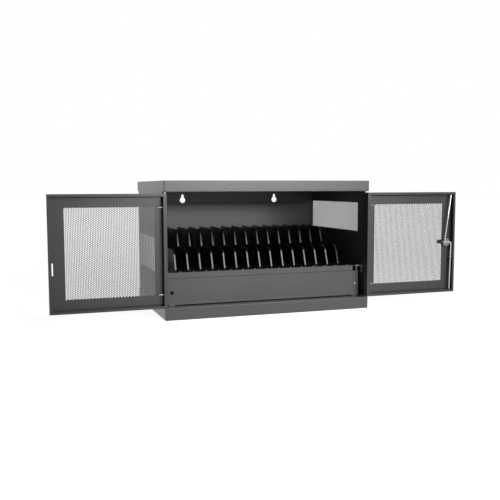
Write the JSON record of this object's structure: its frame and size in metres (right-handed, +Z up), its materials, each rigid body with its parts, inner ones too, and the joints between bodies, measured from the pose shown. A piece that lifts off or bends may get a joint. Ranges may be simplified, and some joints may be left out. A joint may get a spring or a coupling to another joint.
{
  "type": "tablet charging cabinet",
  "caption": "Low steel charging cabinet for tablets: perforated swing doors on drawn pins, a rod lock with T-handle, a shelf of stepped dividers, a wiring space below and wall keyholes.",
  "frame": {"origin": "middle of the flat underside, on the surface that the cabinet stands on", "axes": "+X to the right as seen from the front, along the cabinet's width; +Y towards its back; +Z up"},
  "size_m": [1.342, 0.4575, 0.42],
  "materials": {
    "case_paint": "satin powder coat, dark grey",
    "door_paint": "satin powder coat, dark grey",
    "plated_sheet": "zinc plated sheet",
    "plated_hardware": "bright zinc plate",
    "black_hardware": "black coated",
    "divider_plastic": "fine grained black moulding",
    "guide_plastic": "smooth black nylon",
    "strip_plastic": "fine grained black moulding",
    "outlet_plastic": "smooth dark moulding",
    "button_plastic": "smooth red moulding"
  },
  "bodies": {
    "cabinet": {"base_plinth": "case_paint", "lid": "case_paint", "side_panel_left": "case_paint", "side_panel_right": "case_paint", "back_panel": "case_paint", "wall_rail": "case_paint", "shelf": "case_paint", "access_panel": "case_paint", "back_rivets": "case_paint", "vent_grille_left": "plated_sheet", "vent_grille_right": "plated_sheet", "shelf_channel_left": "plated_sheet", "shelf_channel_right": "plated_sheet", "divider_01": "divider_plastic", "divider_02": "divider_plastic", "divider_03": "divider_plastic", "divider_04": "divider_plastic", "divider_05": "divider_plastic", "divider_06": "divider_plastic", "divider_07": "divider_plastic", "divider_08": "divider_plastic", "divider_09": "divider_plastic", "divider_10": "divider_plastic", "divider_11": "divider_plastic", "divider_12": "divider_plastic", "divider_13": "divider_plastic", "divider_14": "divider_plastic", "divider_15": "divider_plastic", "shelf_studs": "divider_plastic", "power_strip_front": "strip_plastic", "power_strip_rear": "strip_plastic", "power_inlet": "strip_plastic", "breaker_body": "strip_plastic", "outlet_sockets": "outlet_plastic", "access_screw_left": "black_hardware", "access_screw_right": "plated_hardware"},
    "left_door": {"left_door": "door_paint", "left_door_grille": "door_paint", "left_pin_guides": "guide_plastic"},
    "right_door": {"right_door": "door_paint", "right_door_grille": "door_paint", "right_pin_guides": "guide_plastic", "lock_rose": "black_hardware", "lock_nut": "plated_hardware", "rod_guides": "guide_plastic", "strike_bracket": "plated_hardware"},
    "handle": {"t_handle": "black_hardware", "lock_cam": "plated_hardware", "cam_screw": "plated_hardware", "rod_rivets": "plated_hardware"},
    "key": {"key_plug": "plated_hardware"},
    "upper_rod": {"upper_rod": "plated_hardware"},
    "lower_rod": {"lower_rod": "plated_hardware"},
    "breaker_button": {"breaker_button": "button_plastic"},
    "left_top_pin": {"left_top_pin": "plated_hardware"},
    "left_bottom_pin": {"left_bottom_pin": "plated_hardware"},
    "right_top_pin": {"right_top_pin": "plated_hardware"},
    "right_bottom_pin": {"right_bottom_pin": "plated_hardware"}
  },
  "joints": [
    {"name": "left_door_swing", "type": "hinge", "parent": "cabinet", "child": "left_door", "pos_m": [-0.336, -0.21875, 0.2105], "axis": [0, 0, 1], "range_deg": [0, 180]},
    {"name": "right_door_swing", "type": "hinge", "parent": "cabinet", "child": "right_door", "pos_m": [0.336, -0.21875, 0.2105], "axis": [0, 0, -1], "range_deg": [0, 180]},
    {"name": "handle_turn", "type": "hinge", "parent": "right_door", "child": "handle", "pos_m": [0.64, -0.2125, 0.2105], "axis": [0, 1, 0], "range_deg": [0, 90]},
    {"name": "key_turn", "type": "hinge", "parent": "handle", "child": "key", "pos_m": [0.64, -0.2125, 0.2105], "axis": [0, 1, 0], "range_deg": [0, 90]},
    {"name": "upper_rod_pivot", "type": "hinge", "parent": "handle", "child": "upper_rod", "pos_m": [0.6311, -0.2262, 0.2105], "axis": [0, 1, 0], "range_deg": [-95, 0]},
    {"name": "lower_rod_pivot", "type": "hinge", "parent": "handle", "child": "lower_rod", "pos_m": [0.6489, -0.2262, 0.2105], "axis": [0, 1, 0], "range_deg": [-95, 0]},
    {"name": "breaker_trip", "type": "slide", "parent": "cabinet", "child": "breaker_button", "axis": [0, 1, 0], "range_m": [0, 0.003]},
    {"name": "left_top_pin_draw", "type": "slide", "parent": "left_door", "child": "left_top_pin", "axis": [0, 0, -1], "range_m": [0, 0.01]},
    {"name": "left_bottom_pin_draw", "type": "slide", "parent": "left_door", "child": "left_bottom_pin", "axis": [0, 0, 1], "range_m": [0, 0.01]},
    {"name": "right_top_pin_draw", "type": "slide", "parent": "right_door", "child": "right_top_pin", "axis": [0, 0, -1], "range_m": [0, 0.01]},
    {"name": "right_bottom_pin_draw", "type": "slide", "parent": "right_door", "child": "right_bottom_pin", "axis": [0, 0, 1], "range_m": [0, 0.01]}
  ],
  "couplings": [
    {"joint": "upper_rod_pivot", "follows": "handle_turn", "ratio": -1.0299},
    {"joint": "lower_rod_pivot", "follows": "handle_turn", "ratio": -1.0341}
  ]
}
